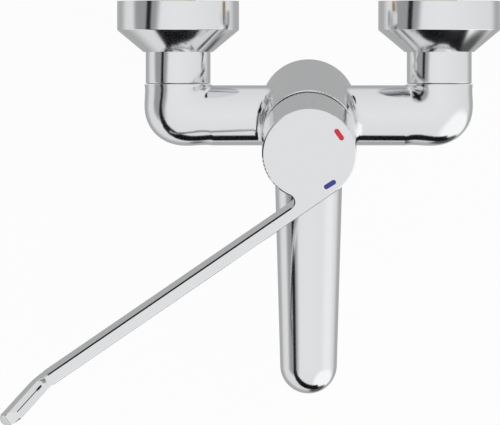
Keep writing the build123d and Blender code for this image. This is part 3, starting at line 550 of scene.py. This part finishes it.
class TAP_OT_aerator(bpy.types.Operator):
    """Turn the aerator's fluted housing and build its honeycomb insert"""

    bl_idname = "tap.aerator"
    bl_label = "Aerator"

    def execute(self, context):
        outline = [
            (0.0102, 0.0114), (0.0115, 0.0114), *spaced((0.0118, 0.0118), (0.0118, 0.0178), 0.00022),
            (0.0115, 0.0180), (0.0115, 0.01845), (0.0127, 0.01845), (0.0129, 0.01865), (0.0129, 0.0205),
            (0.0127, 0.0209), (0.0123, 0.02105), (0.0096, 0.02105), (0.0092, 0.0209), (0.0090, 0.0206),
            (0.0090, 0.01985), (0.0102, 0.01985),
        ]
        housing = turn_piece("fluted_housing", outline, 192)
        cut_thread(housing, 0.0117, 0.0179, 0.001, 0.0005, 0.0118)
        cut_flutes(housing, 0.01855, 0.0206, 48, 0.0003, 0.0129)
        fit(housing, OUTLET, "aerator_housing")
        honeycomb = honeycomb_plate(cell=0.0012, reach=0.0090, height=0.0174, depth=0.0022)
        ring = [
            (0.00895, 0.0124), (0.01005, 0.0124), (0.01015, 0.0125), (0.01015, 0.0197), (0.0100, 0.0198),
            (0.0088, 0.0198),
        ]
        insert = turn_piece("honeycomb_insert", ring, 96)
        bpy.ops.object.select_all(action="DESELECT")
        honeycomb.select_set(True)
        insert.select_set(True)
        bpy.context.view_layer.objects.active = insert
        bpy.ops.object.join()
        fit(insert, OUTLET, "aerator_insert")
        return {"FINISHED"}


def honeycomb_plate(cell, reach, height, depth):
    """A round plate of open hexagonal cells at a height: one hexagon, arrayed, inset and given its depth."""
    bpy.ops.object.select_all(action="DESELECT")
    bpy.ops.mesh.primitive_circle_add(vertices=6, radius=cell, fill_type="NGON", location=(0, 0, height))
    plate = bpy.context.object
    rows = int(2 * reach / cell)
    for offset in ((0, cell * sqrt(3), 0), (cell * 1.5, cell * sqrt(3) / 2, 0)):
        array = plate.modifiers.new("rows", "ARRAY")
        array.use_relative_offset = False
        array.use_constant_offset = True
        array.constant_offset_displace = offset
        array.count = rows
        array.use_merge_vertices = True
        array.merge_threshold = cell / 20
        bpy.ops.object.modifier_apply(modifier=array.name)
    middle = sum((vertex.co for vertex in plate.data.vertices), Vector()) / len(plate.data.vertices)
    near = min(plate.data.polygons, key=lambda face: (face.center - middle).length)
    shift = near.center.copy()
    for vertex in plate.data.vertices:
        vertex.co -= shift
    bpy.ops.object.mode_set(mode="EDIT")
    bpy.ops.mesh.select_mode(type="FACE")
    bpy.ops.mesh.select_all(action="DESELECT")
    bpy.ops.object.mode_set(mode="OBJECT")
    for face in plate.data.polygons:
        face.select = face.center.length > reach - cell * 0.4
    bpy.ops.object.mode_set(mode="EDIT")
    bpy.ops.mesh.delete(type="FACE")
    bpy.ops.mesh.select_all(action="SELECT")
    bpy.ops.mesh.inset(thickness=cell * 0.12, use_individual=True)
    bpy.ops.mesh.delete(type="ONLY_FACE")
    bpy.ops.object.mode_set(mode="OBJECT")
    wall = plate.modifiers.new("depth", "SOLIDIFY")
    wall.thickness = depth
    wall.offset = -1
    bpy.ops.object.modifier_apply(modifier=wall.name)
    bpy.ops.object.transform_apply(location=True, rotation=True, scale=True)
    return plate


class TAP_OT_lever(bpy.types.Operator):
    """Give the lever's casting its polished chamfers round the top"""

    bl_idname = "tap.lever"
    bl_label = "Lever Edges"

    def execute(self, context):
        piece = merged_copy("lever", "chamfered_lever")
        to_lever = LEVER.inverted()
        axis = LEVER.to_3x3() @ Vector((0, 0, 1))
        moves = []
        for vertex in piece.data.vertices:
            depth = (HUB_TOP - (to_lever @ vertex.co).z) / HUB_ROUND
            outward = vertex.normal - axis * vertex.normal.dot(axis)
            if not ON_ROUND[0] < depth < ON_ROUND[1] or outward.length < LEAST_OUTWARD:
                continue
            # The rounding's own inset and drop here, and those of the flat bands that take its place
            slope = acos(1 - depth)
            x, y, _ = to_lever @ vertex.co
            on_arm = x > ARM_START or (x > TANGENT_START[0] and y > TANGENT_START[1])
            inset, drop = on_bands(BAR_BANDS if on_arm else HUB_BANDS, slope)
            moves.append((vertex, outward.normalized() * (1 - sin(slope) - inset) + axis * (depth - drop)))
        for vertex, move in moves:
            vertex.co += move * HUB_ROUND
        soften_tip(piece, to_lever)
        fit(piece, Matrix(), "lever", smooth=ARM_SMOOTH)
        return {"FINISHED"}


def soften_tip(piece, to_lever):
    """Bevel the long sharp edges of the lever's turned-up end."""
    bends = {}
    for face in piece.data.polygons:
        for key in face.edge_keys:
            bends.setdefault(key, []).append(face.normal)
    weights = piece.data.attributes.new("bevel_weight_edge", "FLOAT", "EDGE")
    for edge in piece.data.edges:
        ends = [to_lever @ piece.data.vertices[i].co for i in edge.vertices]
        sides = bends.get(edge.key, [])
        sharp = len(sides) == 2 and sides[0].angle(sides[1], 0) > TIP_SHARP
        if sharp and min(end.x for end in ends) > TIP_START and (ends[1] - ends[0]).length > TIP_SHORTEST:
            weights.data[edge.index].value = 1
    bevel = piece.modifiers.new("tip", "BEVEL")
    bevel.limit_method = "WEIGHT"
    bevel.width = TIP_BEVEL
    bevel.segments = 3
    bevel.use_clamp_overlap = False
    bpy.ops.object.modifier_apply(modifier=bevel.name)


def merged_copy(node, name):
    """A copy of a CAD node's mesh with its seams merged."""
    source = bpy.data.objects[node]
    bpy.context.view_layer.update()
    piece = bpy.data.objects.new(name, source.data.copy())
    bpy.context.collection.objects.link(piece)
    piece.matrix_world = source.matrix_world.copy()
    bpy.ops.object.select_all(action="DESELECT")
    piece.select_set(True)
    bpy.context.view_layer.objects.active = piece
    bpy.ops.object.transform_apply(location=True, rotation=True, scale=True)
    bpy.ops.object.mode_set(mode="EDIT")
    bpy.ops.mesh.select_all(action="SELECT")
    bpy.ops.mesh.remove_doubles(threshold=0.000002)
    bpy.ops.mesh.customdata_custom_splitnormals_clear()
    bpy.ops.mesh.normals_make_consistent(inside=False)
    bpy.ops.object.mode_set(mode="OBJECT")
    return piece


def on_bands(bands, slope):
    """The place on a row of bands that stands for one slope of a quarter round."""
    step = slope / (pi / 2) * (len(bands) - 1)
    first = min(int(step), len(bands) - 2)
    return Vector(bands[first]).lerp(Vector(bands[first + 1]), step - first)


class TAP_OT_marks(bpy.types.Operator):
    """Shape the two temperature marks: enamel bars with a softly crowned face"""

    bl_idname = "tap.marks"
    bl_label = "Temperature Marks"

    def execute(self, context):
        for name, (radius, turn) in MARKS.items():
            bpy.ops.object.select_all(action="DESELECT")
            bpy.ops.mesh.primitive_circle_add(vertices=48, radius=MARK_END, fill_type="NGON")
            mark = bpy.context.object
            mark.name = f"enamel_{name}"
            for vertex in mark.data.vertices:
                vertex.co.y += MARK_STRETCH if vertex.co.y > 0 else -MARK_STRETCH
            bpy.ops.object.mode_set(mode="EDIT")
            bpy.ops.mesh.select_all(action="SELECT")
            bpy.ops.mesh.extrude_region_move(TRANSFORM_OT_translate={"value": (0, 0, MARK_THICKNESS)})
            for inset, rise in MARK_CROWN:
                bpy.ops.mesh.inset(thickness=inset)
                bpy.ops.transform.translate(value=(0, 0, rise))
            bpy.ops.mesh.select_all(action="SELECT")
            bpy.ops.mesh.normals_make_consistent(inside=False)
            bpy.ops.object.mode_set(mode="OBJECT")
            on_hub = Matrix.Translation((radius, 0, HUB_TOP - MARK_SINK))
            fit(mark, BARREL @ Matrix.Rotation(radians(turn), 4, "Z") @ on_hub, name, smooth=MARK_SMOOTH)
        return {"FINISHED"}


class TAP_OT_studio(bpy.types.Operator):
    """Set up the floor, the dome that the chrome mirrors, the lamps and the camera"""

    bl_idname = "tap.studio"
    bl_label = "Studio"

    def execute(self, context):
        studio = context.scene.tap_studio
        centre = Vector(studio.view_centre)
        floor_z = centre.z - studio.floor_drop
        bpy.ops.object.select_all(action="DESELECT")
        bpy.ops.mesh.primitive_plane_add(size=FLOOR_SIZE, location=(0, 0, floor_z))
        floor = bpy.context.object
        floor.name = "floor"
        floor.visible_glossy = False
        floor_finish(floor)
        world_finish(context.scene)
        for name, (place, aim, size, power) in LAMPS.items():
            lamp = bpy.data.lights.new(name, "AREA")
            lamp.shape = "RECTANGLE"
            lamp.size, lamp.size_y = size
            lamp.energy = power
            holder = bpy.data.objects.new(name, lamp)
            holder.location = place
            holder.rotation_euler = (Vector(aim) - Vector(place)).to_track_quat("-Z", "Y").to_euler()
            holder.visible_glossy = False
            context.collection.objects.link(holder)
        lens = bpy.data.cameras.new("camera")
        lens.lens = studio.lens
        lens.clip_end = 40
        camera = bpy.data.objects.new("camera", lens)
        camera.location = centre + Vector((0, 0, studio.view_width * studio.lens / lens.sensor_width))
        context.collection.objects.link(camera)
        context.scene.camera = camera
        context.scene.view_settings.view_transform = "Standard"
        return {"FINISHED"}


def floor_finish(floor):
    """Pale floor, nearly white to the camera, so that a part of the tap's shadow shows on it."""
    material = bpy.data.materials.new("floor")
    material.use_nodes = True
    nodes = Nodes(material.node_tree)
    grain = nodes.noise(14, 3)
    colour = nodes.mix(grain, (0.8, 0.8, 0.8, 1), (0.84, 0.84, 0.84, 1))
    matt = nodes.add("ShaderNodeBsdfDiffuse", {}, {"Color": colour})
    white = nodes.add("ShaderNodeEmission", {}, {"Strength": 1.0})
    seen = nodes.add("ShaderNodeLightPath", output="Is Camera Ray")
    shader = nodes.add("ShaderNodeMixShader", {}, {0: seen * FLOOR_WHITE, 1: matt, 2: white})
    nodes.add("ShaderNodeOutputMaterial", {}, {"Surface": shader})
    floor.data.materials.append(material)


def toward(turn, drop):
    """Direction at a turn from the back and a drop from straight up, both in degrees."""
    turn, drop = radians(turn), radians(drop)
    return Vector((-sin(turn) * sin(drop), cos(turn) * sin(drop), cos(drop)))


def world_finish(scene):
    """White to the camera; to the tap a two-tone studio dome with a black board and a few soft cards."""
    world = bpy.data.worlds.new("studio")
    world.use_nodes = True
    scene.world = world
    nodes = Nodes(world.node_tree)
    direction = nodes.add("ShaderNodeTexCoord", output="Generated")
    across, along, up = [nodes.add("ShaderNodeSeparateXYZ", {}, {0: direction}, output=i) for i in range(3)]
    turn = (across * -1.0).math("ARCTAN2", along) * (180 / pi)
    turn = turn.math("ADD", 360.0).math("MODULO", 360.0)
    drop = up.math("ARCCOSINE") * (180 / pi)
    stops = [(at / 180, tone) for at, tone in DOME]
    level = nodes.add("ShaderNodeValToRGB", {"stops": stops}, {0: drop * (1 / 180)})
    for at_turn, at_drop, half_turn, half_drop, tone in CARDS:
        aside = ((turn - at_turn) * (1 / half_turn)).math("POWER", 2.0)
        above = ((drop - at_drop) * (1 / half_drop)).math("POWER", 2.0)
        outside = nodes.between(aside + above, *CARD_EDGE)
        level = nodes.mix(outside, (tone, tone, tone, 1), level)
    (turn_a, drop_a, half_a), (turn_b, drop_b, half_b) = BOARD
    square = toward(turn_a, drop_a).cross(toward(turn_b, drop_b)).normalized()
    off = across * square.x + along * square.y + up * square.z
    half = nodes.between(turn, turn_a, turn_b) * (half_b - half_a) + half_a
    away = off.math("ARCSINE").math("ABSOLUTE") * (180 / pi) - half
    past_ends = (turn - BOARD_MIDDLE).math("ABSOLUTE") - BOARD_HALF
    away = away.math("MAXIMUM", past_ends)
    level = nodes.mix(nodes.between(away, -BOARD_EDGE, BOARD_EDGE), BOARD_TONE, level)
    dome = nodes.add("ShaderNodeBackground", {}, {"Color": level, "Strength": 1.0})
    white = nodes.add("ShaderNodeBackground", {}, {"Color": (1, 1, 1, 1), "Strength": 1.0})
    seen = nodes.add("ShaderNodeLightPath", output="Is Camera Ray")
    shader = nodes.add("ShaderNodeMixShader", {}, {0: seen, 1: dome, 2: white})
    nodes.add("ShaderNodeOutputWorld", {}, {"Surface": shader})


class TAP_PT_panel(bpy.types.Panel):
    """Lists the tap's operators and settings"""

    bl_idname = "TAP_PT_panel"
    bl_label = "Elbow Lever Tap"
    bl_space_type = "VIEW_3D"
    bl_region_type = "UI"
    bl_category = "Tap"

    def draw(self, context):
        for operator in STEPS:
            self.layout.operator(operator.bl_idname)
        for group in (context.scene.tap_sizes, context.scene.tap_colours, context.scene.tap_studio):
            box = self.layout.box()
            for key in group.__annotations__:
                box.prop(group, key)


STEPS = [
    TAP_OT_finishes, TAP_OT_rosettes, TAP_OT_union_nuts, TAP_OT_s_unions, TAP_OT_aerator, TAP_OT_lever,
    TAP_OT_marks, TAP_OT_studio,
]
GROUPS = {"tap_sizes": TapSizes, "tap_colours": TapColours, "tap_studio": StudioSettings}


def register():
    """Register the settings, operators and panel, and hang the settings on the scene."""
    for cls in [*GROUPS.values(), *STEPS, TAP_PT_panel]:
        bpy.utils.register_class(cls)
    for name, group in GROUPS.items():
        setattr(bpy.types.Scene, name, bpy.props.PointerProperty(type=group))


def unregister():
    """Take away what register adds."""
    for name in GROUPS:
        delattr(bpy.types.Scene, name)
    for cls in reversed([*GROUPS.values(), *STEPS, TAP_PT_panel]):
        bpy.utils.unregister_class(cls)


def main():
    """Run every step in order."""
    register()
    for step in STEPS:
        group, name = step.bl_idname.split(".")
        getattr(getattr(bpy.ops, group), name)()


if __name__ == "__main__":
    main()
